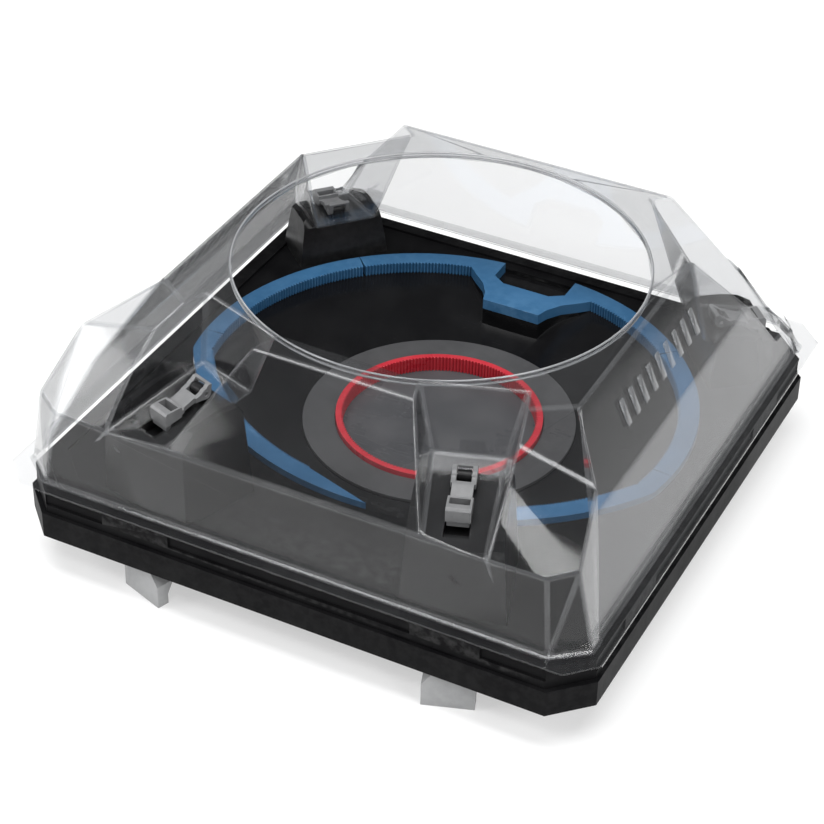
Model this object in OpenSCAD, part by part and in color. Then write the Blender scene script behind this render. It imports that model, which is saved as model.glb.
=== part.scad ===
// Covered battle stadium for spinning tops: black tray on four legs, dished floor,
// toothed rails, and a clear cover held down by four hinged latches.

/* [Tray] */
// Width and depth of the square tray
tray_w = 430; // [420:1:440]
// Length cut off each tray corner, along the side
tray_cut = 25; // [20:1:30]
// Wall thickness of the tray
tray_wall = 3; // [2.5:0.1:3.5]
// Height of the plain lower band of the skirt
band_h = 20; // [16:1:24]
// How far the upper band is set in from the lower one
band_step = 2.5; // [2:0.1:3]
// Height of the rim top above the skirt's bottom edge
rim_h = 44; // [43.5:0.5:46]
// Width of the raised rim that the cover stands on
rim_w = 10; // [8:1:12]
// How far the raised rim is set in from the side of the tray
rim_inset = 9; // [8:0.5:10]
// Height of the deck's top face above the skirt's bottom edge
deck_h = 42; // [41:0.5:42.5]

/* [Arena] */
// Outer radius of the rail on each side
rail_r = 174; // [172:0.5:175]
// Sideways offset of the two side arcs from the middle
rail_shift = 13.5; // [12:0.5:15]
// Distance of the side arcs' centres behind the tray's centre
arena_y = 14.5; // [13:0.5:16]
// Outer radius of the flatter near stretch of rail
near_r = 213; // [210:1:216]
// Distance of the near arc's centre behind the tray's centre
near_y = 83; // [81:0.5:85]
// Width of the rail's top face
rail_w = 15; // [14:0.5:16]
// Height of a rail
rail_h = 8.5; // [8:0.5:9]
// Spacing of the rail's teeth
rail_pitch = 2.45; // [2.3:0.05:2.6]
// Radius of the flat floor disc
floor_r = 99.5; // [98:0.5:100]
// Height of the floor above the skirt's bottom edge
floor_h = 20.5; // [20:0.5:21]
// Outer radius of the centre ring
ring_r = 75.5; // [74:0.1:76]
// Radial thickness of the centre ring without its teeth
ring_w = 4; // [3.5:0.1:4.5]
// Height of the centre ring
ring_h = 12; // [11:0.5:12]
// Number of teeth on the centre ring
ring_teeth = 180; // [160:1:190]

/* [Cover] */
// Height of the cover's top plate above the skirt's bottom edge
cover_h = 160; // [158:1:162]
// Wall thickness of the cover
cover_wall = 2; // [1.8:0.1:2.2]
// Half width of the flange around the cover's foot
flange_half = 221; // [220:0.5:223]
// Radius of the round launch opening
open_r = 145.5; // [143:0.1:146]
// Distance of the launch opening's centre behind the tray's centre
open_y = 10; // [8:0.5:12]
// Depth of the lip around the launch opening
lip_h = 4; // [3:0.5:5]
// Half width of a latch pocket's floor
pocket_half = 21; // [20.5:0.5:22]
// Sideways growth of a pocket wall per unit of height
pocket_draft = 0.24; // [0.2:0.01:0.26]
// Fall of a pocket's floor per unit of length, outwards
pocket_fall = 0.165; // [0.15:0.005:0.18]

/* [Latches and legs] */
// Width of a latch
latch_w = 16.5; // [16:0.5:17.5]
// Distance from a latch's pin to its outer face
latch_len = 35; // [34:1:37]
// Radius of a latch pin
pin_r = 1.5; // [1.4:0.1:1.7]
// Height of the skirt's bottom edge above the ground
leg_h = 32; // [31:1:34]
// Width of a leg
leg_w = 36; // [34:1:38]

/* [Hidden] */
SIDES = [["left", -1], ["right", 1]];

$fn = 96;
gap = 0.4;
eps = 0.01;
half = tray_w / 2;

// Latch stations on the right side: pin x, pin y, outward heading, pin height above the
// skirt's bottom edge, pocket reach inwards and pocket reach outwards
FRONT = [99, -152, -70.7, 116.5, 24, 60];
BACK = [158, 150, 41.3, 79.5, 18, 45];
// Depth of a pocket's floor below its pin
floor_drop = 5.5;

// Heights above the skirt's bottom edge
deck_t = 3;
shoulder_h = rim_h - 6.5;
// Half width of the cover at its foot
foot = half - 4;
// Size of the small flats at the cover's corner points
corner_size = 1;
flange_t = 3;
rail_z = deck_h + 5 - rail_h;
bowl_floor_z = floor_h - 2.5;
dish_z = 9.5;
dish_r = ring_r + 3.5;
screw_r = 1.4;
screw_fit = 0.05;
head_r = 2.7;
head_h = 2;
// Reach of a tower inwards from its latch pin
tower_back = 12;
// Width of the lug that holds a latch pin
lug_w = latch_w - 7.4;

// Seams between rail pieces, as angles on the left and right arcs
seam_back = 133.5;
seam_front = 185.6;
seam_gap = 0.1;
tooth_h = 1.6;
// Where the back rail's teeth end beside the bridge
bridge_end = 76.4;
// Right half of the bridge in the middle of the back rail: its outer and its inner edge
bridge_outer = [[29.5, 168], [19, 161]];
bridge_inner = [[23, 133.5], [26, 143], [33, 154], [44, 163.5]];
bridge_screw = [12, 147];
// Ends of the two near rails, as angles about the near arc's centre
left_tip = 274.3;
right_tip = 286.4;

// ---- helpers ----

function arc(c, r, a0, a1, step = 3) =
    let (n = max(1, ceil(abs(a1 - a0) / step)))
    [for (i = [0:n]) let (a = a0 + (a1 - a0) * i / n) [c[0] + r * cos(a), c[1] + r * sin(a)]];

// Inner edge of a toothed arc, one square tooth per pitch, pointing to the centre
function teeth(c, r, a0, a1, pitch, depth) =
    let (n = floor(abs(a1 - a0) * PI * r / 180 / pitch), d = (a1 - a0) / n)
    [for (i = [0:n - 1], k = [0:3])
        let (a = a0 + d * (i + [0, 0.25, 0.5, 0.75][k]), q = k == 1 || k == 2 ? r : r + depth)
        [c[0] + q * cos(a), c[1] + q * sin(a)]];

function mirrored(points) = [for (i = [len(points) - 1:-1:0]) [-points[i][0], points[i][1]]];

module octagon(h, cut) {
    polygon([[-h, -h + cut], [-h + cut, -h], [h - cut, -h], [h, -h + cut],
             [h, h - cut], [h - cut, h], [-h + cut, h], [-h, h - cut]]);
}

// Plan of the arena, grown or shrunk by off
module arena_plan(off) {
    intersection() {
        union() {
            for (side = [-1, 1]) translate([side * rail_shift, arena_y]) circle(rail_r + off);
            translate([0, arena_y]) square([2 * rail_shift, 2 * (rail_r + off)], center = true);
        }
        translate([0, near_y]) circle(near_r + off);
    }
}

module at_station(s, side) {
    mirror([side < 0 ? 1 : 0, 0, 0])
        translate([s[0], s[1], leg_h + s[3]]) rotate([0, 0, s[2]]) children();
}

// Extrudes a side outline, drawn outwards against up, across the station
module across(width) {
    rotate([90, 0, 0]) translate([0, 0, -width / 2]) linear_extrude(width) children();
}

// Extrudes a front outline, drawn sideways against up, along the station
module along(from, to) {
    translate([from, 0, 0]) rotate([90, 0, 90]) linear_extrude(to - from) children();
}

function floor_at(s) = -floor_drop - pocket_fall * s;

// ---- tray, bowl and floor ----

module groove(from, to) {
    depth = 1.6;
    for (turn = [0:90:270]) rotate([0, 0, turn])
        translate([from, -half + band_step - 1, shoulder_h - 11]) cube([to - from, depth + 1, 9]);
}

module base_tray() {
    color([0.03, 0.03, 0.035]) translate([0, 0, leg_h]) difference() {
        union() {
            linear_extrude(band_h) octagon(half, tray_cut);
            linear_extrude(shoulder_h) octagon(half - band_step, tray_cut);
            linear_extrude(rim_h) octagon(half - rim_inset, tray_cut);
        }
        translate([0, 0, -1]) linear_extrude(band_h - 1) octagon(half - tray_wall, tray_cut);
        translate([0, 0, -1]) linear_extrude(shoulder_h - tray_wall + 1)
            octagon(half - band_step - tray_wall, tray_cut);
        translate([0, 0, -1]) linear_extrude(deck_h - deck_t + 1)
            octagon(half - rim_inset - tray_wall, tray_cut);
        translate([0, 0, deck_h]) linear_extrude(rim_h) octagon(half - rim_inset - rim_w, tray_cut);
        translate([0, 0, deck_h - 10]) linear_extrude(20) arena_plan(gap / 2);
        for (span = [[-188, -142], [-90, 92], [142, 188]]) groove(span[0], span[1]);
        corner_screw_sites() cylinder(h = rim_h + 1, r = screw_r + 0.3, $fn = 32);
    }
}

// Curved cavity of the bowl: ruled steps from the rail's inner edge down to the floor disc
module bowl_cavity() {
    hull() {
        translate([0, 0, rail_z]) linear_extrude(1) arena_plan(-rail_w + 0.4, $fn = 72);
        translate([0, arena_y, rail_z - 8]) cylinder(h = 0.1, r = 131, $fn = 72);
        translate([0, arena_y, bowl_floor_z]) cylinder(h = 0.1, r = floor_r + gap, $fn = 72);
    }
}

module bowl() {
    shell = 2.5;
    color([0.05, 0.05, 0.055]) translate([0, 0, leg_h]) difference() {
        union() {
            translate([0, 0, rail_z - flange_t]) linear_extrude(flange_t) arena_plan(-gap);
            difference() {
                hull() {
                    translate([0, 0, rail_z - flange_t]) linear_extrude(0.1)
                        arena_plan(-rail_w + 3, $fn = 72);
                    translate([0, arena_y, rail_z - 8 - shell]) cylinder(h = 0.1, r = 134, $fn = 72);
                    translate([0, arena_y, bowl_floor_z - shell])
                        cylinder(h = 0.1, r = floor_r + 6, $fn = 72);
                }
                bowl_cavity();
            }
            intersection() {
                translate([0, 0, bowl_floor_z]) linear_extrude(rail_z - bowl_floor_z) bridge_plan();
                translate([0, 0, bowl_floor_z]) linear_extrude(rail_z) arena_plan(-rail_w + 3);
            }
        }
        difference() {
            bowl_cavity();
            translate([0, 0, -1]) linear_extrude(rail_z + 1) bridge_plan();
        }
        translate([0, arena_y, 0]) cylinder(h = rim_h, r = ring_r + gap);
        rail_screw_sites() cylinder(h = rail_z, r = screw_r + 0.3, $fn = 32);
        for (m = [-1, 1]) translate([m * bridge_screw[0], bridge_screw[1], 0])
            cylinder(h = rail_z - flange_t, r = head_r + 0.3, $fn = 32);
        dish_screw_sites() cylinder(h = rail_z, r = screw_r + screw_fit, $fn = 32);
    }
}

module floor_disc() {
    color([0.3, 0.3, 0.31]) translate([0, arena_y, leg_h + bowl_floor_z]) difference() {
        cylinder(h = floor_h - bowl_floor_z, r = floor_r);
        translate([0, 0, -1]) cylinder(h = 5, r = ring_r + gap);
    }
}

module centre_dish() {
    top = bowl_floor_z - 2.5;
    color([0.28, 0.28, 0.29]) translate([0, arena_y, leg_h]) difference() {
        union() {
            translate([0, 0, dish_z]) cylinder(h = top - dish_z, r = dish_r);
            translate([0, 0, top - 2.5]) cylinder(h = 2.5, r = dish_r + 10);
        }
        translate([0, 0, dish_z + 2.5]) cylinder(h = top, r = ring_r + gap);
        translate([0, -arena_y, 0]) dish_screw_sites() cylinder(h = top, r = screw_r + 0.3, $fn = 32);
    }
}

module centre_ring() {
    inner = ring_r - ring_w;
    color([0.72, 0.1, 0.14]) translate([0, arena_y, leg_h + dish_z + 2.5])
    linear_extrude(ring_h) difference() {
        circle(ring_r);
        polygon(teeth([0, 0], inner - 1.2, 0, 360, 2 * PI * inner / ring_teeth, 1.2));
    }
}

// ---- rails ----

// Step in the bowl's wall under the bridge, standing inwards of the arcs
module bridge_plan() {
    polygon(concat(bridge_outer, mirrored(bridge_outer), [[-44, 166]],
                   mirrored(bridge_inner), bridge_inner, [[44, 166]]));
}

function right_c() = [rail_shift, arena_y];
function near_c() = [0, near_y];
function rail_in() = rail_r - rail_w;

// Where the right side arc of radius a meets the near arc of radius b, as angles about their own centres
function corner(a, b) =
    let (v = near_c() - right_c(), d = norm(v),
         turn = atan2(v[1], v[0]) - acos((d * d + a * a - b * b) / (2 * d * a)),
         q = right_c() + a * [cos(turn), sin(turn)] - near_c())
    [turn, 360 + atan2(q[1], q[0])];

// Back rail: the ends of both side arcs, joined by the bridge
module rail_back_plan() {
    outer = concat(arc(right_c(), rail_r, 180 - seam_back, 84.7), bridge_outer);
    inner = concat(bridge_inner,
                   teeth(right_c(), rail_in(), bridge_end, 180 - seam_back, rail_pitch, tooth_h));
    polygon(concat(outer, mirrored(outer), mirrored(inner), inner));
}

// Right side rail, from the back seam to the front seam
module rail_side_plan() {
    polygon(concat(
        arc(right_c(), rail_r, 180 - seam_gap - seam_back, 180 + seam_gap - seam_front),
        teeth(right_c(), rail_in(), 180 + seam_gap - seam_front, 180 - seam_gap - seam_back,
              rail_pitch, tooth_h)));
}

// Near rail on the right, from the front seam round the corner to its tip, thinned over the last
// taper degrees
module rail_front_plan(tip, taper) {
    near_in = near_r - rail_w;
    out = corner(rail_r, near_r);
    in = corner(rail_in(), near_in);
    polygon(concat(
        arc(right_c(), rail_r, 180 - seam_gap - seam_front, out[0]),
        arc(near_c(), near_r, out[1], tip),
        teeth(near_c(), near_in, tip + taper, in[1] - 0.4, rail_pitch, tooth_h),
        teeth(right_c(), rail_in(), in[0] + 0.4, 180 - seam_gap - seam_front, rail_pitch, tooth_h)));
}

module rail_body() {
    color([0.2, 0.47, 0.68]) translate([0, 0, leg_h]) difference() {
        translate([0, 0, rail_z]) linear_extrude(rail_h) children();
        rail_screw_sites() cylinder(h = rail_z + rail_h - 2.5, r = screw_r + screw_fit, $fn = 32);
    }
}

module rail_back() { rail_body() rail_back_plan(); }
module rail_left() { rail_body() mirror([1, 0]) rail_side_plan(); }
module rail_right() { rail_body() rail_side_plan(); }
module rail_front_left() { rail_body() mirror([1, 0]) rail_front_plan(540 - left_tip, 15); }
module rail_front_right() { rail_body() rail_front_plan(right_tip, 0); }

module rail_screw_sites() {
    mid = rail_w / 2 - 1;
    for (m = [0, 1]) mirror([m, 0, 0]) {
        for (a = [76, 62, 40, 15, -10]) translate([right_c()[0] + (rail_r - mid) * cos(a),
                                                  right_c()[1] + (rail_r - mid) * sin(a), 0]) children();
        for (a = [-45, -65])
            translate([(near_r - mid) * cos(a), near_y + (near_r - mid) * sin(a), 0]) children();
        translate([bridge_screw[0], bridge_screw[1], 0]) children();
    }
}

module dish_screw_sites() {
    for (a = [30:60:330]) translate([(dish_r + 5) * cos(a), arena_y + (dish_r + 5) * sin(a), 0]) children();
}

module screw(length) {
    cylinder(h = length, r = screw_r, $fn = 32);
    translate([0, 0, -head_h]) cylinder(h = head_h, r = head_r, $fn = 32);
}

module rail_screws() {
    color([0.5, 0.5, 0.52]) translate([0, 0, leg_h + rail_z - flange_t])
        rail_screw_sites() screw(flange_t + 5.5);
}

module dish_screws() {
    color([0.5, 0.5, 0.52]) translate([0, 0, leg_h + bowl_floor_z - 5]) dish_screw_sites() screw(4.8);
}

// ---- cover ----

// Outer corner points of half the cover, above the skirt's bottom edge: plate, ridges, corner pods, foot
function half_cover() = [
    [90, -147, cover_h], [155, -103, cover_h], [155, 112, cover_h], [121, 165, cover_h],
    [150, -205, cover_h - 59], [181, -204, cover_h - 59], [157, 190, cover_h - 61],
    [190, -152, cover_h - 19], [199, -194, cover_h - 53], [187, 152, cover_h - 36], [198, 176, cover_h - 76],
    [188, -foot, rim_h], [foot, -192, rim_h], [foot, 192, rim_h], [188, foot, rim_h]
];

// Space outside the right wall between the front pod and the back pod
module side_cut(inset) {
    pod = 1.7 * inset;
    intersection() {
        translate([0, 0, rim_h - 1]) linear_extrude(cover_h)
            polygon([[120, -55 - pod], [190, -153 - pod], [240, -223 - pod],
                     [240, 220 + pod], [187, 153.7 + pod], [120, 70 + pod]]);
        rotate([90, 0, 0]) translate([0, 0, -tray_w]) linear_extrude(2 * tray_w)
            polygon([[155 - inset, cover_h + 9], [155 - inset, cover_h], [186 - inset, cover_h - 53],
                     [foot - 1 - inset, rim_h - 1], [240, rim_h - 1], [240, cover_h + 9]]);
    }
}

// Outer body of the cover, drawn in by inset on every side
module cover_block(inset) {
    difference() {
        hull() for (side = [-1, 1], p = half_cover()) {
            low = inset > 0 ? rim_h - 1 : rim_h + 0.5;
            translate([side * (p[0] - inset), p[1] - sign(p[1]) * inset, p[2] > rim_h ? p[2] - inset : low])
                cube(corner_size, center = true);
        }
        for (m = [0, 1]) mirror([m, 0, 0]) side_cut(inset);
    }
}

// Space of one latch pocket, grown by wall on its floor, back and sides
module pocket(s, wall) {
    top = cover_h - s[3] + 5;
    back = -s[4] - wall;
    out = s[5] + 40;
    intersection() {
        across(200) polygon([[back, floor_at(back) - wall], [out, floor_at(out) - wall],
                             [out, top], [back - 0.3 * (top - floor_at(back)), top]]);
        along(back - 40, out) polygon([[-pocket_half - wall, floor_at(s[5]) - wall - 20],
                                       [pocket_half + wall, floor_at(s[5]) - wall - 20],
                                       [pocket_half + wall, floor_at(s[5])],
                                       [pocket_half + wall + pocket_draft * (top - floor_at(s[5])), top],
                                       [-pocket_half - wall - pocket_draft * (top - floor_at(s[5])), top],
                                       [-pocket_half - wall, floor_at(s[5])]]);
    }
}

module all_stations() {
    for (s = [FRONT, BACK], side = [-1, 1]) at_station(s, side) {
        $s = s;
        children();
    }
}

module clear_cover() {
    color([0.85, 0.87, 0.9, 0.3]) difference() {
        union() {
            difference() {
                translate([0, 0, leg_h]) cover_block(0);
                difference() {
                    translate([0, 0, leg_h]) cover_block(cover_wall);
                    all_stations() pocket($s, cover_wall);
                    translate([0, open_y, leg_h + cover_h - lip_h])
                        cylinder(h = lip_h, r = open_r + cover_wall);
                }
            }
            translate([0, 0, leg_h + rim_h]) linear_extrude(cover_wall) difference() {
                octagon(flange_half, 19);
                octagon(half - rim_inset - 5, 20);
            }
        }
        all_stations() pocket($s, 0);
        all_stations() {
            translate([-9, -latch_w / 2 - 0.6, -40]) cube([17, latch_w + 1.2, 45]);
            translate([latch_len - 8, -latch_w / 2, -40]) cube([18, latch_w, 35]);
        }
        translate([0, open_y, leg_h + cover_h - lip_h - 1]) cylinder(h = lip_h + 3, r = open_r);
    }
}

// ---- towers, latches and legs ----

// Body of a tower before its pocket is cut, drawn in by inset on every side but the bottom
module tower_block(s, inset) {
    low = deck_h - s[3];
    back = inset - tower_back;
    out = s[5] - 5 - inset;
    top = 8 - cover_wall - gap - inset;
    flare = 36 - inset;
    shoulder = pocket_half + 8 - inset;
    intersection() {
        across(200) polygon([[back - 4, low], [out, low],
                             [out, floor_at(out) + top - 6], [out - 4, floor_at(out) + top],
                             [back + 6, floor_at(back) + top], [back, floor_at(back) - 4 - inset]]);
        along(back - 10, out + 10) polygon([[-flare, low], [flare, low], [shoulder + 2, -2 - inset],
                                            [shoulder, -inset], [-shoulder, -inset],
                                            [-shoulder - 2, -2 - inset]]);
    }
}

module lug_plan() {
    circle(4, $fn = 48);
    translate([-3, -14]) square([6, 14]);
}

module tower_screw_sites(s) {
    for (t = [-11, 11]) translate([s[5] - 14, t, deck_h - s[3]]) children();
}

// Room under the cover's walls, drawn in by inset
module cover_room(inset) {
    side = foot - cover_wall - 1 - inset;
    top = cover_h - 4;
    translate([0, 0, leg_h]) intersection() {
        rotate([90, 0, 90]) translate([0, 0, -half]) linear_extrude(tray_w)
            polygon([[-side, 0], [inset - 201, cover_h - 59], [inset - 146, top],
                     [150 - inset, top], [186 - inset, cover_h - 61], [side, 0]]);
        rotate([90, 0, 0]) translate([0, 0, -half]) linear_extrude(tray_w)
            polygon([[-side, 0], [inset - 190, cover_h - 70], [inset - 150, top],
                     [150 - inset, top], [190 - inset, cover_h - 70], [side, 0]]);
    }
}

// Space of the tray's raised rim and of the cover's flange on it, which a tower stands clear of
module rim_space() {
    translate([0, 0, leg_h + deck_h - 1]) linear_extrude(rim_h - deck_h + 1) difference() {
        square(3 * half, center = true);
        octagon(half - rim_inset - rim_w - gap, tray_cut);
    }
    translate([0, 0, leg_h + deck_h - 1]) linear_extrude(rim_h - deck_h + 1 + cover_wall + gap) difference() {
        square(3 * half, center = true);
        octagon(half - rim_inset - 5 - gap, 20);
    }
}

// Black tower under one pocket, with saddle cheeks beside the pocket and a lug for the latch pin
module tower(s, side) {
    low = deck_h - s[3];
    under = cover_wall + gap;
    skin = 3;
    catch_z = floor_at(latch_len + 10) - 8;
    color([0.03, 0.03, 0.035]) difference() {
        union() {
            intersection() {
                at_station(s, side) tower_block(s, 0);
                cover_room(0);
            }
            at_station(s, side) across(lug_w) lug_plan();
        }
        rim_space();
        at_station(s, side) difference() {
            pocket(s, under);
            across(lug_w) lug_plan();
        }
        difference() {
            intersection() {
                translate([0, 0, -eps]) at_station(s, side) tower_block(s, skin);
                cover_room(skin);
            }
            at_station(s, side) {
                pocket(s, under + skin);
                translate([-8, -lug_w, low]) cube([16, 2 * lug_w, -low]);
                translate([latch_len - 11, -latch_w / 2 - skin, catch_z - skin])
                    cube([24, latch_w + 2 * skin, -catch_z]);
                tower_screw_sites(s) cylinder(h = -low, r = 5);
            }
        }
        at_station(s, side) {
            translate([latch_len - 8, -latch_w / 2, catch_z]) cube([18, latch_w, 12]);
            rotate([90, 0, 0]) cylinder(h = 40, r = pin_r + screw_fit, center = true, $fn = 48);
            tower_screw_sites(s) translate([0, 0, -1]) cylinder(h = 14, r = screw_r + screw_fit, $fn = 32);
        }
    }
}

// Hinged latch: two cheeks on the pin, a top bar, a sloping plate and an open-topped outer block
module latch() {
    bar_a = 125;
    bar_r = 6.4;
    block_from = latch_len - 14;
    nose = floor_at(latch_len) + gap;
    color([0.56, 0.56, 0.57]) difference() {
        union() {
            across(latch_w) union() {
                circle(4.2, $fn = 48);
                polygon([[-4.2, 0], [bar_r * cos(bar_a) - 1.2, bar_r * sin(bar_a) + 1],
                         [bar_r * cos(bar_a) + 1.6, bar_r * sin(bar_a) + 1.4], [4.2, 0]]);
                polygon([[0, 3.8], [6, 1], [10, 0.4],
                         [block_from + 2, -4.2], [block_from + 2, -7.2], [8, -3.2],
                         [0, -3.8]]);
            }
            across(latch_w) polygon([[block_from, -0.6], [latch_len - 1.5, -0.6],
                                     [latch_len, -2.2], [latch_len, nose],
                                     [block_from, floor_at(block_from) + gap]]);
            translate([latch_len - 5, -latch_w / 2 + 1, nose - 4]) cube([4, latch_w - 2, 5]);
        }
        difference() {
            translate([-8, -lug_w / 2 - gap, -12]) cube([15, lug_w + 2 * gap, 24]);
            across(40) polygon([[bar_r * cos(bar_a) - 1.2, bar_r * sin(bar_a) - 1.1],
                                [bar_r * cos(bar_a) - 1.2, 9], [bar_r * cos(bar_a) + 1.6, 9],
                                [bar_r * cos(bar_a) + 1.6, bar_r * sin(bar_a) - 0.6]]);
        }
        translate([block_from + 2, -latch_w / 2 + 1.6, -8]) cube([6, latch_w - 3.2, 10]);
        for (t = [-1, 1]) translate([9, t * latch_w / 2 - 1.2, -10]) cube([block_from - 11, 2.4, 12]);
        rotate([90, 0, 0]) cylinder(h = latch_w + 2, r = pin_r + screw_fit, center = true, $fn = 48);
    }
}

module latch_pin() {
    color([0.6, 0.6, 0.62]) rotate([90, 0, 0])
        cylinder(h = latch_w - 0.6, r = pin_r, center = true, $fn = 48);
}

// Leg under the tray: front plate with cut shoulders, a sloping gusset and a screwed top flange
module leg_body(s) {
    top = deck_h - deck_t - s[3];
    low = -leg_h - s[3];
    face = s[5] - 3;
    difference() {
        intersection() {
            across(leg_w) polygon([[face - 9, low], [face, low], [face, top], [face - 26, top],
                                   [face - 26, top - 4], [face - 20, low + 30], [face - 9, low + 8]]);
            along(face - 40, face + 1) polygon([[-leg_w / 2, low], [leg_w / 2, low], [leg_w / 2, low + 18],
                                                [leg_w / 2 - 9, low + 30],
                                                [leg_w / 2 - 2, top - 6], [leg_w / 2 - 2, top],
                                                [-leg_w / 2 + 2, top], [-leg_w / 2 + 2, top - 6],
                                                [-leg_w / 2 + 9, low + 30], [-leg_w / 2, low + 18]]);
        }
        for (t = [-11, 11]) translate([s[5] - 14, t, 0]) {
            translate([0, 0, low]) cylinder(h = top - low - 6, r = head_r + 0.5, $fn = 32);
            translate([0, 0, low]) cylinder(h = top - low + 1, r = screw_r + 0.3, $fn = 32);
        }
    }
}

// Room for the legs inside the tray's skirt, shoulder and rim
module leg_room() {
    linear_extrude(leg_h + band_h - 2 - gap) octagon(half - tray_wall - gap, tray_cut);
    linear_extrude(leg_h + shoulder_h - tray_wall - gap)
        octagon(half - band_step - tray_wall - gap, tray_cut);
    linear_extrude(leg_h + deck_h) octagon(half - rim_inset - tray_wall - gap, tray_cut);
}

module leg(s, side) {
    color([0.62, 0.62, 0.63]) intersection() {
        at_station(s, side) leg_body(s);
        leg_room();
    }
}

// Screw axes of the four corners, standing at the skirt's bottom edge
module corner_screw_sites() {
    for (s = [FRONT, BACK], m = [0, 1]) mirror([m, 0, 0]) translate([s[0], s[1], 0]) rotate([0, 0, s[2]])
        for (t = [-11, 11]) translate([s[5] - 14, t, 0]) children();
}

module corner_screws() {
    color([0.5, 0.5, 0.52]) translate([0, 0, leg_h + deck_h - deck_t - 6])
        corner_screw_sites() screw(6 + deck_t + 11);
}

// ---- nodes ----

base_tray();
bowl();
floor_disc();
centre_dish();
centre_ring();
rail_back();
rail_left();
rail_right();
rail_front_left();
rail_front_right();
clear_cover();
for (e = [["front", FRONT], ["back", BACK]], side = SIDES) {
    tail = str(e[0], "_", side[0]);
    tower(e[1], side[1]);
    at_station(e[1], side[1]) latch();
    at_station(e[1], side[1]) latch_pin();
    leg(e[1], side[1]);
}
rail_screws();
dish_screws();
corner_screws();
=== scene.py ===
"""Looks of the covered spinning top stadium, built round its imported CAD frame.

Constants and outlines are in millimetres, with heights counted from the skirt's bottom edge.
Meshes, and the lengths given to modifiers and materials, are in metres.
"""

import math

import bmesh
import bpy
from mathutils import Matrix, Vector


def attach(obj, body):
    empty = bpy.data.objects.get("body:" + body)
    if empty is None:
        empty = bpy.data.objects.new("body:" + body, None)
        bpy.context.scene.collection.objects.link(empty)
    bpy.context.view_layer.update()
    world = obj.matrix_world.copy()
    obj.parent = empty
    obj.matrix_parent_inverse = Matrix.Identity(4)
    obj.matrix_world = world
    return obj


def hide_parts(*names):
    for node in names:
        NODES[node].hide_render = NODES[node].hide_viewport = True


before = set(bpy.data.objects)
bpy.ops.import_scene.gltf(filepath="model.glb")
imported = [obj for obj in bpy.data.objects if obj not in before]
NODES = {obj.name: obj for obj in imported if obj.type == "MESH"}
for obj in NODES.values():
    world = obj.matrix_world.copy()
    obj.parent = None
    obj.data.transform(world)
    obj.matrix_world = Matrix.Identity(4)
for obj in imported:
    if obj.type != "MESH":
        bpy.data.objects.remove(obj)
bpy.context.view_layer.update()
STADIUM = "stadium"
SIDES = {"left": -1, "right": 1}
ENDS = ("front", "back")

MM = 1000  # millimetres in a metre
LEG = 32  # height of the skirt's bottom edge above the ground

# Cover
COVER_TOP = 160
COVER_WALL = 1.5
RIM_TOP = 44
FLANGE_TOP = 46
FLANGE_HALF = 221
FLANGE_CUT = 19
OPENING_Y, OPENING_R = 10, 145.5
LIP = 4

# Corners of the cover's right half: the hull of these and their mirror images is its outer shape
COVER_POINTS = [
    (90, -147, 160), (155, -103, 160), (155, 112, 160), (121, 165, 160),
    (150, -205, 101), (181, -204, 101), (157, 190, 99),
    (190, -152, 141), (199, -194, 107), (187, 152, 124), (198, 176, 84),
    (188, -211, 44), (211, -192, 44), (211, 192, 44), (188, 211, 44),
]

# The right side's flat facets: what is cut away from above, and what is cut away from the front
SIDE_PLAN = [(120, -55), (190, -153), (240, -223), (240, 220), (187, 153.7), (120, 70)]
SIDE_PROFILE = [(155, 169), (155, 160), (186, 107), (210.5, 43), (240, 43), (240, 169)]

# Latch stations: pin x and y, outward heading, pin height, and the pocket's reach inwards and outwards
STATIONS = {"front": (99, -152, -70.7, 116.5, 24, 60), "back": (158, 150, 41.3, 79.5, 18, 45)}
POCKET_HALF = 21
POCKET_DRAFT = 0.24
POCKET_FALL = 0.165
PIN_DROP = 5.5
# Latch slots in a pocket's floor: from and to, outwards, and half width
SLOTS = ((-9, 8, 8.85), (27, 45, 8.25))
SLOT_DEPTH = 8

# Heights in metres that tell the cover's faces apart: just above its foot and just below its top
FOOT = (LEG + RIM_TOP + 0.3) / MM
CROWN = (LEG + COVER_TOP - LIP + 0.2) / MM
# Material slots of the cover: the clear sheet; a darker, cloudier copy on its rounded edges and lip that
# paints them as lines; and a darker, cloudier copy on its flat sides that paints shade on them
SHEET_SLOT, EDGE_LINES_SLOT, SIDE_SHADE_SLOT = 0, 1, 2

# Plain bars on a side's upper facet, with their outline along and up the facet
BARS = 9
BARS_FROM, BARS_TO = -62, 58
BARS_UP = 31
BAR_OUTLINE = [(-4.4, -9), (1.6, -9), (4.4, 9), (-1.6, 9)]
BAR_SUNK, BAR_RAISED = -0.2, 0.9
FACET_FOOT, FACET_CREST = (186, 0, 107), (155, 0, 160)

# Shade angles in degrees, below which neighbouring faces are shaded as one
PART_SHADE = 32
COVER_SHADE = 30

# Studio lamps: name, spot, aim, width, depth and power
LAMPS = (
    ("overhead", (0, -0.27, 2.4), (0, -0.27, 0), 2.6, 1.1, 66),
    ("strip", (0.0, -1.55, 2.2), (0.15, -0.17, 0.13), 0.9, 0.44, 12),
    ("front_left", (-1.9, -1.5, 1.5), (0, 0, 0.1), 1.4, 1.2, 32),
    ("right", (1.9, -0.75, 1.15), (0.15, -0.15, 0.1), 0.9, 0.9, 20),
)
GROUND_HALF = 4
GROUND_Z = -0.0002


# ---- meshes ----


def link(name, mesh):
    obj = bpy.data.objects.new(name, mesh)
    bpy.context.scene.collection.objects.link(obj)
    return obj


def from_bmesh(name, bm):
    mesh = bpy.data.meshes.new(name)
    bm.to_mesh(mesh)
    bm.free()
    return link(name, mesh)


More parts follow.
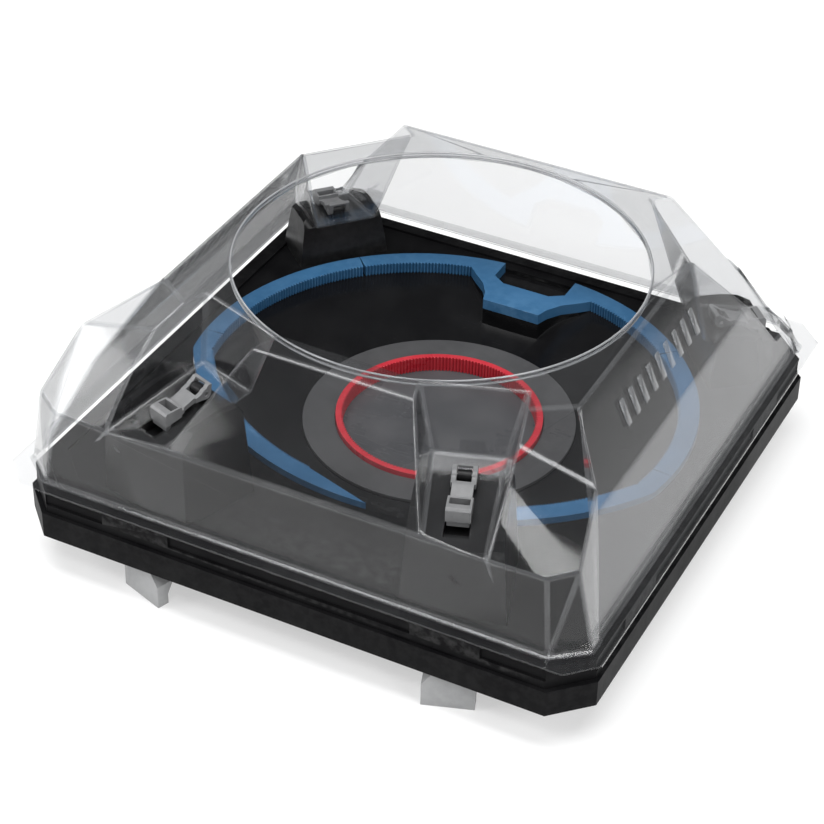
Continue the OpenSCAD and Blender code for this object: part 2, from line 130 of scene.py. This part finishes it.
def settle(obj):
    """Applies an object's modifiers to its mesh."""
    graph = bpy.context.evaluated_depsgraph_get()
    mesh = bpy.data.meshes.new_from_object(obj.evaluated_get(graph))
    old = obj.data
    obj.modifiers.clear()
    obj.data = mesh
    bpy.data.meshes.remove(old)
    return obj


def combine(obj, tool, operation="DIFFERENCE"):
    """Cuts, joins or crosses an object with a tool, and removes the tool."""
    mod = obj.modifiers.new("combine", "BOOLEAN")
    mod.object, mod.operation, mod.solver = tool, operation, "EXACT"
    settle(obj)
    mesh = tool.data
    bpy.data.objects.remove(tool)
    bpy.data.meshes.remove(mesh)
    return obj


def smooth(mesh, angle):
    for face in mesh.polygons:
        face.use_smooth = True
    mesh.set_sharp_from_angle(angle=math.radians(angle))


def even_normals(obj):
    obj.modifiers.new("normals", "WEIGHTED_NORMAL").keep_sharp = True


def prism(name, outline, low, high, place):
    """Solid with a 2-D outline as its section, drawn from low to high along place's third argument."""
    bm = bmesh.new()
    ends = [[bm.verts.new(Vector(place(a, b, t)) / MM) for a, b in outline] for t in (low, high)]
    bm.faces.new(ends[0])
    bm.faces.new(ends[1])
    for k in range(len(outline)):
        n = (k + 1) % len(outline)
        bm.faces.new((ends[0][k], ends[0][n], ends[1][n], ends[1][k]))
    bmesh.ops.recalc_face_normals(bm, faces=bm.faces)
    return from_bmesh(name, bm)


def weld(bm, distance, flat):
    """Joins vertices closer than distance, and merges faces that are flat to within an angle."""
    bmesh.ops.remove_doubles(bm, verts=bm.verts, dist=distance)
    bmesh.ops.dissolve_limit(bm, angle_limit=math.radians(flat), verts=bm.verts, edges=bm.edges)


def finish_piece(obj, body, material):
    obj.data.materials.clear()
    obj.data.materials.append(material)
    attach(obj, body)


def refine(name, body, material, width, segments=2, angle=28):
    """Softened copy of a CAD node that stands for it: every edge sharper than angle is rounded."""
    mesh = NODES[name].data.copy()
    mesh.transform(NODES[name].matrix_world)
    mesh.materials.clear()
    bm = bmesh.new()
    bm.from_mesh(mesh)
    weld(bm, 0.00002, 1)
    bmesh.ops.recalc_face_normals(bm, faces=bm.faces)
    bm.to_mesh(mesh)
    bm.free()
    obj = link("shape_" + name, mesh)
    mod = obj.modifiers.new("edges", "BEVEL")
    mod.width, mod.segments, mod.limit_method = width, segments, "ANGLE"
    mod.angle_limit = math.radians(angle)
    mod.use_clamp_overlap = True
    mod.miter_outer = "MITER_ARC"
    settle(obj)
    smooth(obj.data, PART_SHADE)
    even_normals(obj)
    finish_piece(obj, body, material)
    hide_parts(name)


# ---- materials ----


class Shader:
    """Small helper that builds one node material."""

    def __init__(self, name):
        self.material = bpy.data.materials.new(name)
        self.material.use_nodes = True
        self.tree = self.material.node_tree
        self.tree.nodes.clear()
        self.output = self.add("ShaderNodeOutputMaterial")
        self.place = self.add("ShaderNodeTexCoord").outputs["Object"]

    def add(self, kind, **values):
        node = self.tree.nodes.new(kind)
        for key, value in values.items():
            setattr(node, key, value)
        return node

    def link(self, out, into):
        self.tree.links.new(out, into)

    def noise(self, scale, detail=3.0, rough=0.55, stretch=None):
        node = self.add("ShaderNodeTexNoise")
        node.inputs["Scale"].default_value = scale
        node.inputs["Detail"].default_value = detail
        node.inputs["Roughness"].default_value = rough
        source = self.place
        if stretch:
            mapping = self.add("ShaderNodeMapping")
            mapping.inputs["Scale"].default_value = stretch
            mapping.inputs["Rotation"].default_value = (0.3, 0.5, 0.6)
            self.link(source, mapping.inputs["Vector"])
            source = mapping.outputs["Vector"]
        self.link(source, node.inputs["Vector"])
        return node.outputs["Fac"]

    def remap(self, value, low, high, to_low, to_high):
        node = self.add("ShaderNodeMapRange")
        node.inputs["From Min"].default_value = low
        node.inputs["From Max"].default_value = high
        node.inputs["To Min"].default_value = to_low
        node.inputs["To Max"].default_value = to_high
        self.link(value, node.inputs["Value"])
        return node.outputs["Result"]

    def math(self, operation, first, second):
        node = self.add("ShaderNodeMath", operation=operation)
        self.link(first, node.inputs[0])
        self.link(second, node.inputs[1])
        return node.outputs[0]

    def blend(self, factor, first, second):
        node = self.add("ShaderNodeMix", data_type="RGBA")
        self.link(factor, node.inputs["Factor"])
        for socket, value in ((node.inputs[6], first), (node.inputs[7], second)):
            if isinstance(value, tuple):
                socket.default_value = (*value, 1)
            else:
                self.link(value, socket)
        return node.outputs[2]

    def mix(self, factor, first, second):
        """Mixes two surfaces: all first at factor 0, all second at 1."""
        node = self.add("ShaderNodeMixShader")
        self.link(factor, node.inputs["Fac"])
        self.link(first, node.inputs[1])
        self.link(second, node.inputs[2])
        return node.outputs["Shader"]

    def bump(self, value, strength, distance, normal=None):
        node = self.add("ShaderNodeBump")
        node.inputs["Strength"].default_value = strength
        node.inputs["Distance"].default_value = distance
        self.link(value, node.inputs["Height"])
        if normal is not None:
            self.link(normal, node.inputs["Normal"])
        return node.outputs["Normal"]


def moulded(name, colour, second, rough, spread=0.08, grain=900, depth=0.000018, specular=0.35,
            worn=None, wear=0.35, metallic=0.0, coat=0.0):
    """Moulded plastic or metal: mottled colour, scuffed roughness, fine grain, and paler worn edges."""
    s = Shader(name)
    p = s.add("ShaderNodeBsdfPrincipled")
    mottle = s.remap(s.noise(28, 4), 0.35, 0.65, 0, 1)
    tone = s.blend(mottle, colour, second)
    edge = s.remap(s.add("ShaderNodeNewGeometry").outputs["Pointiness"], 0.52, 0.60, 0, wear)
    chips = s.math("MULTIPLY", edge, s.remap(s.noise(160, 4), 0.4, 0.62, 0, 1))
    tone = s.blend(chips, tone, worn or tuple(min(1, c * 1.5 + 0.03) for c in colour))
    s.link(tone, p.inputs["Base Color"])
    scuffs = s.remap(s.noise(14, 5), 0.3, 0.7, rough - spread, rough + spread)
    scratches = s.remap(s.noise(60, 3, stretch=(1, 18, 1)), 0.6, 0.75, 0, spread)
    s.link(s.math("ADD", scuffs, scratches), p.inputs["Roughness"])
    p.inputs["Specular IOR Level"].default_value = specular
    p.inputs["Metallic"].default_value = metallic
    p.inputs["Coat Weight"].default_value = coat
    p.inputs["Coat Roughness"].default_value = 0.12
    wave = s.bump(s.noise(9, 1), 0.25, 0.0004)
    s.link(s.bump(s.noise(grain, 2), 0.5, depth, wave), p.inputs["Normal"])
    s.link(p.outputs["BSDF"], s.output.inputs["Surface"])
    return s.material


def clear_plastic(name, tint, haze, mirror, gloss=0.04):
    """Thin clear sheet: it shows what is behind it through a light haze, and mirrors more at a slant.

    Mirror is the share of light that it reflects when seen straight on, and gloss its least roughness.
    """
    s = Shader(name)
    facing = s.add("ShaderNodeLayerWeight")
    facing.inputs["Blend"].default_value = 0.5
    slant = s.remap(facing.outputs["Facing"], 0.45, 0.95, 0, 1)
    see = s.add("ShaderNodeBsdfTransparent")
    s.link(s.blend(slant, tint, tuple(0.82 * c for c in tint)), see.inputs["Color"])
    milk = s.add("ShaderNodeBsdfPrincipled")
    milk.inputs["Base Color"].default_value = (0.62, 0.63, 0.65, 1)
    milk.inputs["Roughness"].default_value = 0.5
    milk.inputs["Specular IOR Level"].default_value = 0.2
    cloud = s.remap(s.noise(18, 4), 0.3, 0.7, haze * 0.7, haze * 1.3)
    inner = s.mix(cloud, see.outputs["BSDF"], milk.outputs["BSDF"])
    shine = s.add("ShaderNodeBsdfGlossy")
    shine.inputs["Color"].default_value = (1, 1, 1, 1)
    s.link(s.remap(s.noise(35, 4), 0.3, 0.7, gloss, 2 * gloss), shine.inputs["Roughness"])
    s.link(s.bump(s.noise(12, 1), 0.08, 0.0003), shine.inputs["Normal"])
    steep = s.add("ShaderNodeMath", operation="POWER")
    steep.inputs[1].default_value = 3.6
    s.link(facing.outputs["Facing"], steep.inputs[0])
    outer = s.mix(s.remap(steep.outputs[0], 0, 1, mirror, 1), inner, shine.outputs["BSDF"])
    s.link(outer, s.output.inputs["Surface"])
    return s.material


TRAY = moulded(
    "tray_black", (0.004, 0.004, 0.0045), (0.008, 0.008, 0.0085), 0.45,
    specular=0.04, wear=0.5, worn=(0.05, 0.05, 0.05), grain=2600, depth=0.00001)
BOWL = moulded(
    "bowl_black", (0.004, 0.004, 0.0045), (0.007, 0.007, 0.0075), 0.2, 0.06,
    specular=0.2, wear=0.3, grain=2600, depth=0.00001)
FLOOR = moulded("floor_grey", (0.05, 0.05, 0.052), (0.062, 0.062, 0.064), 0.34, wear=0.3)
DISH = moulded("dish_grey", (0.05, 0.051, 0.055), (0.07, 0.07, 0.074), 0.3, wear=0.3)
RING = moulded(
    "ring_red", (0.38, 0.018, 0.03), (0.45, 0.025, 0.038), 0.3, worn=(0.6, 0.1, 0.11), coat=0.15)
RAIL = moulded(
    "rail_blue", (0.027, 0.1, 0.205), (0.036, 0.12, 0.24), 0.34, worn=(0.13, 0.28, 0.45), coat=0.15)
TOWER = moulded(
    "tower_black", (0.005, 0.005, 0.0055), (0.009, 0.009, 0.0095), 0.34,
    specular=0.2, worn=(0.06, 0.06, 0.06))
LATCH = moulded(
    "latch_grey", (0.14, 0.142, 0.145), (0.17, 0.172, 0.175), 0.33, worn=(0.42, 0.42, 0.42), grain=1200)
LEG_GREY = moulded(
    "leg_grey", (0.3, 0.303, 0.307), (0.34, 0.343, 0.347), 0.42, worn=(0.6, 0.6, 0.6), grain=1200)
STEEL = moulded(
    "steel", (0.5, 0.5, 0.51), (0.6, 0.6, 0.61), 0.3, metallic=1.0, worn=(0.8, 0.8, 0.8), grain=2500)
CLEAR = clear_plastic("cover_clear", (0.93, 0.932, 0.935), 0.007, 0.017)
# Painted shade: a darker, cloudier copy of the clear sheet, used only on the cover's flat side walls
CLEAR_SIDE_SHADE = clear_plastic("cover_clear_side_painted_shade", (0.86, 0.862, 0.866), 0.06, 0.02)
# Painted edge lines: a darker, cloudier, more mirroring copy of the clear sheet for the rounded edges and
# the lip, so they show darker over bright things behind and paler over the dark base
CLEAR_EDGE_LINES = clear_plastic("cover_clear_painted_edge_lines", (0.84, 0.845, 0.85), 0.05, 0.03, 0.12)
# Painted rim lines: a much darker, very cloudy copy of the clear sheet for the beads on the lip
CLEAR_RIM_LINES = clear_plastic("cover_clear_painted_rim_lines", (0.6, 0.605, 0.61), 0.45, 0.1)
CLEAR_BARS = clear_plastic("cover_clear_bars", (0.84, 0.845, 0.85), 0.1, 0.05)


# ---- the cover's shape ----


def lifted(x, y, z):
    return x, y, z + LEG


def station_place(station, side):
    """Maps a station's own outward, sideways and upward axes to the frame."""
    x, y, heading, height = station[:4]
    c, s = math.cos(math.radians(heading)), math.sin(math.radians(heading))

    def place(out, across, up):
        return lifted(side * (x + out * c - across * s), y + out * s + across * c, height + up)

    return place


def floor_at(out):
    """Height of a pocket's floor below its latch pin."""
    return -PIN_DROP - POCKET_FALL * out


def in_slot(point, margin=0.3):
    """True if a point in metres lies in a latch slot, below its pocket's floor by at least the margin."""
    for side in SIDES.values():
        for x, y, heading, height, _, _ in STATIONS.values():
            c, s = math.cos(math.radians(heading)), math.sin(math.radians(heading))
            dx, dy = MM * side * point.x - x, MM * point.y - y
            out, across, up = dx * c + dy * s, dy * c - dx * s, MM * point.z - LEG - height
            if floor_at(out) - SLOT_DEPTH < up < floor_at(out) - margin:
                for low, high, half in SLOTS:
                    if low - 0.1 < out < high + 0.1 and abs(across) < half + 0.1:
                        return True
    return False


def off_axis(point):
    """Distance in metres of a point from the launch opening's axis."""
    return math.hypot(point.x, point.y - OPENING_Y / MM)


def pocket_solid(station, side):
    """Room of one latch pocket: a sloping floor with a wall behind it, between two leaning walls."""
    place = station_place(station, side)
    height, behind, reach = station[3:]
    top = COVER_TOP - height + 5
    back, out = -behind, reach + 40
    low = floor_at(reach)
    half_top = POCKET_HALF + POCKET_DRAFT * (top - low)
    hood = back - 0.3 * (top - floor_at(back))
    profile = prism(
        "pocket_profile", [(back, floor_at(back)), (out, floor_at(out)), (out, top), (hood, top)],
        -100, 100, lambda a, b, t: place(a, t, b))
    section = prism(
        "pocket_section",
        [(-POCKET_HALF, low - 20), (POCKET_HALF, low - 20), (POCKET_HALF, low), (half_top, top),
         (-half_top, top), (-POCKET_HALF, low)],
        back - 40, out, lambda a, b, t: place(t, a, b))
    return combine(profile, section, "INTERSECT")


def side_cut(side):
    plan = prism(
        "side_plan", SIDE_PLAN, RIM_TOP - 3, RIM_TOP + 170, lambda a, b, t: lifted(side * a, b, t))
    profile = prism("side_profile", SIDE_PROFILE, -430, 430, lambda a, b, t: lifted(side * a, t, b))
    return combine(plan, profile, "INTERSECT")


def octagon(half, cut):
    h = half
    return [(-h, -h + cut), (-h + cut, -h), (h - cut, -h), (h, -h + cut),
            (h, h - cut), (h - cut, h), (-h + cut, h), (-h, h - cut)]


def circle(radius, centre_y, count):
    angles = [2 * math.pi * k / count for k in range(count)]
    return [(radius * math.cos(a), centre_y + radius * math.sin(a)) for a in angles]


def cover_body():
    """Solid of the cover with everything cut from it, and the planes that its hull's faces lie in."""
    bm = bmesh.new()
    for side in SIDES.values():
        for x, y, z in COVER_POINTS:
            bm.verts.new(Vector(lifted(side * x, y, z)) / MM)
    made = bmesh.ops.convex_hull(bm, input=bm.verts)
    spare = {v for v in made["geom_interior"] + made["geom_unused"] if isinstance(v, bmesh.types.BMVert)}
    bmesh.ops.delete(bm, geom=list(spare), context="VERTS")
    bmesh.ops.dissolve_limit(bm, angle_limit=math.radians(1.5), verts=bm.verts, edges=bm.edges)
    bmesh.ops.recalc_face_normals(bm, faces=bm.faces)
    planes = [(face.normal.copy(), face.normal.dot(face.verts[0].co)) for face in bm.faces]
    obj = from_bmesh("cover_shell", bm)
    for side in SIDES.values():
        combine(obj, side_cut(side))
        for station in STATIONS.values():
            combine(obj, pocket_solid(station, side))
            for low, high, half in SLOTS:
                outline = [(low, -half), (high, -half), (high, half), (low, half)]
                combine(obj, prism("slot", outline, floor_at(high) - 3, 5, station_place(station, side)))
    combine(obj, prism("flange", octagon(FLANGE_HALF, FLANGE_CUT), RIM_TOP, FLANGE_TOP, lifted), "UNION")
    bm = bmesh.new()
    bm.from_mesh(obj.data)
    weld(bm, 0.0003, 1.5)
    bm.to_mesh(obj.data)
    bm.free()
    mouth = circle(OPENING_R, OPENING_Y, 144)
    combine(obj, prism("mouth", mouth, COVER_TOP - LIP, COVER_TOP + 10, lifted))
    return obj, planes


def weigh_edges(bm):
    """Marks the edges to round: all sharp ones but those at the foot, on the flange's rim and in slots."""
    weights = bm.edges.layers.float.new("bevel_weight_edge")
    for edge in bm.edges:
        a, b = (v.co for v in edge.verts)
        mid, high = (a + b) / 2, max(a.z, b.z)
        if len(edge.link_faces) != 2 or edge.calc_face_angle(0) < math.radians(9) or high < FOOT:
            continue
        in_mouth = off_axis(mid) < (OPENING_R + 0.5) / MM
        on_rim = max(abs(mid.x), abs(mid.y)) > (FLANGE_HALF - 1) / MM
        on_corner = (abs(mid.x) + abs(mid.y) > (2 * FLANGE_HALF - FLANGE_CUT - 1) / MM
                     and mid.z < (LEG + FLANGE_TOP + 0.1) / MM)
        if in_mouth and high < CROWN or in_slot(mid, -0.2) or on_rim or on_corner:
            continue
        edge[weights] = 0.5 if in_mouth else 1.0


def keep_inside(bm, planes):
    """Moves vertices that the rounding pushed out back to the hull's planes."""
    for vert in bm.verts:
        if vert.co.z > FOOT + 0.002:
            for normal, reach in planes:
                vert.co -= normal * max(0, normal.dot(vert.co) - reach)


def open_faces(bm):
    """Deletes the faces that close foot, mouth, slots and rim, and gives the lip its painted edge-line
    material and the flat sides their painted-shade material.
    """
    drop = []
    for face in bm.faces:
        c, n = face.calc_center_median(), face.normal
        on_rim = max(max(abs(v.co.x), abs(v.co.y)) for v in face.verts) > (FLANGE_HALF - 0.1) / MM
        if n.z < -0.9 and c.z < FOOT or in_slot(c):
            drop.append(face)
        elif n.z > 0.9 and off_axis(c) < (OPENING_R - 1) / MM and 0.1 < c.z < CROWN:
            drop.append(face)
        elif on_rim and abs(n.z) < 0.1 and c.z < FOOT + 0.002:
            drop.append(face)
        elif n.z < 0.6 and c.z > CROWN and off_axis(c) < (OPENING_R + 1) / MM:
            # The lip's inner wall takes the painted edge-line copy of the sheet
            face.material_index = EDGE_LINES_SLOT
        elif abs(n.x) > 0.9 and abs(c.x) > 0.18 and face.material_index == SHEET_SLOT:
            # The flat side walls, picked by the way they face, take the painted-shade copy of the sheet
            face.material_index = SIDE_SHADE_SLOT
    bmesh.ops.delete(bm, geom=drop, context="FACES")


def build_cover():
    """Thin shell with rounded edges, made from the solid by opening it and giving its faces a wall."""
    obj, planes = cover_body()
    bm = bmesh.new()
    bm.from_mesh(obj.data)
    bmesh.ops.triangulate(bm, faces=[face for face in bm.faces if len(face.verts) > 30])
    bmesh.ops.recalc_face_normals(bm, faces=bm.faces)
    weigh_edges(bm)
    bm.to_mesh(obj.data)
    bm.free()
    for material in (CLEAR, CLEAR_EDGE_LINES, CLEAR_SIDE_SHADE):
        obj.data.materials.append(material)
    # The faces that the rounding makes take the painted edge-line copy of the sheet
    mod = obj.modifiers.new("edges", "BEVEL")
    mod.width, mod.segments, mod.limit_method, mod.material = 0.002, 3, "WEIGHT", EDGE_LINES_SLOT
    mod.use_clamp_overlap = False
    mod.miter_outer = "MITER_SHARP"
    settle(obj)
    bm = bmesh.new()
    bm.from_mesh(obj.data)
    keep_inside(bm, planes)
    open_faces(bm)
    bmesh.ops.remove_doubles(bm, verts=bm.verts, dist=0.00002)
    bm.to_mesh(obj.data)
    bm.free()
    mod = obj.modifiers.new("wall", "SOLIDIFY")
    mod.thickness, mod.offset = COVER_WALL / MM, -1
    mod.use_even_offset, mod.use_quality_normals = False, True
    settle(obj)
    smooth(obj.data, COVER_SHADE)
    even_normals(obj)
    return obj


def bars(name, side):
    """Row of plain raised bars on a side's upper facet, all alike."""
    foot = Vector(FACET_FOOT)
    up = (Vector(FACET_CREST) - foot).normalized()
    out = Vector((up.z, 0, -up.x))
    bm = bmesh.new()
    for k in range(BARS):
        along = BARS_FROM + k * (BARS_TO - BARS_FROM) / (BARS - 1)
        rings = [
            [bm.verts.new((foot + up * (BARS_UP + b) + out * lift + Vector((0, along + a, LEG))) / MM)
             for a, b in BAR_OUTLINE]
            for lift in (BAR_SUNK, BAR_RAISED)]
        bm.faces.new(rings[1])
        bm.faces.new(rings[0][::-1])
        for i in range(len(BAR_OUTLINE)):
            j = (i + 1) % len(BAR_OUTLINE)
            bm.faces.new((rings[0][i], rings[0][j], rings[1][j], rings[1][i]))
    for vert in bm.verts:
        vert.co.x *= side
    bmesh.ops.recalc_face_normals(bm, faces=bm.faces)
    obj = from_bmesh(name, bm)
    mod = obj.modifiers.new("edges", "BEVEL")
    mod.width, mod.segments, mod.limit_method = 0.0005, 3, "ANGLE"
    settle(obj)
    smooth(obj.data, 40)
    finish_piece(obj, STADIUM, CLEAR_BARS)


def mouth_bead(name, radius, height, thick):
    """Thin round bead along the opening's lip, in a dark, cloudy copy of the clear sheet that paints the
    lip's edge as a line.
    """
    bm = bmesh.new()
    count, sides = 180, 10
    section = [(radius + thick * math.cos(2 * math.pi * i / sides),
                height + thick * math.sin(2 * math.pi * i / sides)) for i in range(sides)]
    rings = []
    for k in range(count):
        a = 2 * math.pi * k / count
        rings.append([
            bm.verts.new(Vector(lifted(r * math.cos(a), OPENING_Y + r * math.sin(a), z)) / MM)
            for r, z in section])
    for k in range(count):
        for i in range(sides):
            j = (i + 1) % sides
            bm.faces.new((rings[k][i], rings[k - 1][i], rings[k - 1][j], rings[k][j]))
    bmesh.ops.recalc_face_normals(bm, faces=bm.faces)
    obj = from_bmesh(name, bm)
    smooth(obj.data, 60)
    finish_piece(obj, STADIUM, CLEAR_RIM_LINES)


# ---- floor, light and camera ----


def studio():
    g = GROUND_HALF
    bm = bmesh.new()
    bm.faces.new([bm.verts.new((x, y, GROUND_Z)) for x, y in ((-g, -g), (g, -g), (g, g), (-g, g))])
    ground = from_bmesh("studio_floor", bm)
    s = Shader("studio_floor")
    p = s.add("ShaderNodeBsdfPrincipled")
    s.link(s.blend(s.noise(3, 2), (0.5, 0.5, 0.5), (0.52, 0.52, 0.52)), p.inputs["Base Color"])
    # Part of the floor's brightness is its own, so that the shadow on it stays faint
    p.inputs["Emission Color"].default_value = (1, 1, 1, 1)
    p.inputs["Emission Strength"].default_value = 0.5
    p.inputs["Roughness"].default_value = 0.9
    p.inputs["Specular IOR Level"].default_value = 0.1
    s.link(p.outputs["BSDF"], s.output.inputs["Surface"])
    ground.data.materials.append(s.material)

    world = bpy.data.worlds.new("studio")
    world.use_nodes = True
    world.node_tree.nodes["Background"].inputs["Color"].default_value = (0.96, 0.98, 1.0, 1)
    world.node_tree.nodes["Background"].inputs["Strength"].default_value = 0.17
    bpy.context.scene.world = world

    for name, spot, aim, wide, deep, power in LAMPS:
        light = bpy.data.lights.new(name, "AREA")
        light.shape, light.size, light.size_y, light.energy = "RECTANGLE", wide, deep, power
        lamp = link(name, light)
        lamp.location = spot
        lamp.rotation_mode = "QUATERNION"
        lamp.rotation_quaternion = (Vector(aim) - Vector(spot)).to_track_quat("-Z", "Y")

    camera = link("camera", bpy.data.cameras.new("camera"))
    camera.data.lens, camera.data.sensor_width = 103.43, 36
    camera.data.clip_start, camera.data.clip_end = 0.01, 50
    camera.matrix_world = Matrix((
        (0.8897, -0.2827, 0.3585, 0.5987),
        (0.4562, 0.5184, -0.7232, -1.2380),
        (0.0186, 0.8070, 0.5902, 1.0714),
        (0, 0, 0, 1)))
    bpy.context.scene.camera = camera
    bpy.context.scene.view_settings.view_transform = "Standard"
    bpy.context.scene.cycles.transparent_max_bounces = 32  # enough for every wall of the cover in a row


# ---- pieces, from the tray up ----

refine("base_tray", STADIUM, TRAY, 0.0009, 3)
refine("bowl", STADIUM, BOWL, 0.0004, 2, angle=35)
refine("floor_disc", STADIUM, FLOOR, 0.0005)
refine("centre_dish", STADIUM, DISH, 0.0004)
refine("centre_ring", STADIUM, RING, 0.00025, 2)
for part in ("back", "left", "right", "front_left", "front_right"):
    refine("rail_" + part, STADIUM, RAIL, 0.0003, 2)

for end in ENDS:
    for where in SIDES:
        corner = f"{end}_{where}"
        refine("tower_" + corner, STADIUM, TOWER, 0.0022, 4)
        refine("leg_" + corner, STADIUM, LEG_GREY, 0.0008, 3)
        refine("latch_" + corner, "latch_" + corner, LATCH, 0.0005, 3)
screws = ["rail_screws", "dish_screws", "corner_screws"]
for name in screws + [f"latch_pin_{end}_{where}" for end in ENDS for where in SIDES]:
    for holder in NODES[name].material_slots:
        holder.material = STEEL

cover = build_cover()
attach(cover, STADIUM)
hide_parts("clear_cover")
# Beads whose dark, cloudy material paints the lip's top and bottom edges as lines
mouth_bead("cover_bead_top_painted_line", OPENING_R + 0.3, COVER_TOP - 0.7, 0.7)
mouth_bead("cover_bead_low_painted_line", OPENING_R + 0.6, COVER_TOP - LIP, 0.8)
for where, side in SIDES.items():
    bars("cover_bars_" + where, side)

studio()
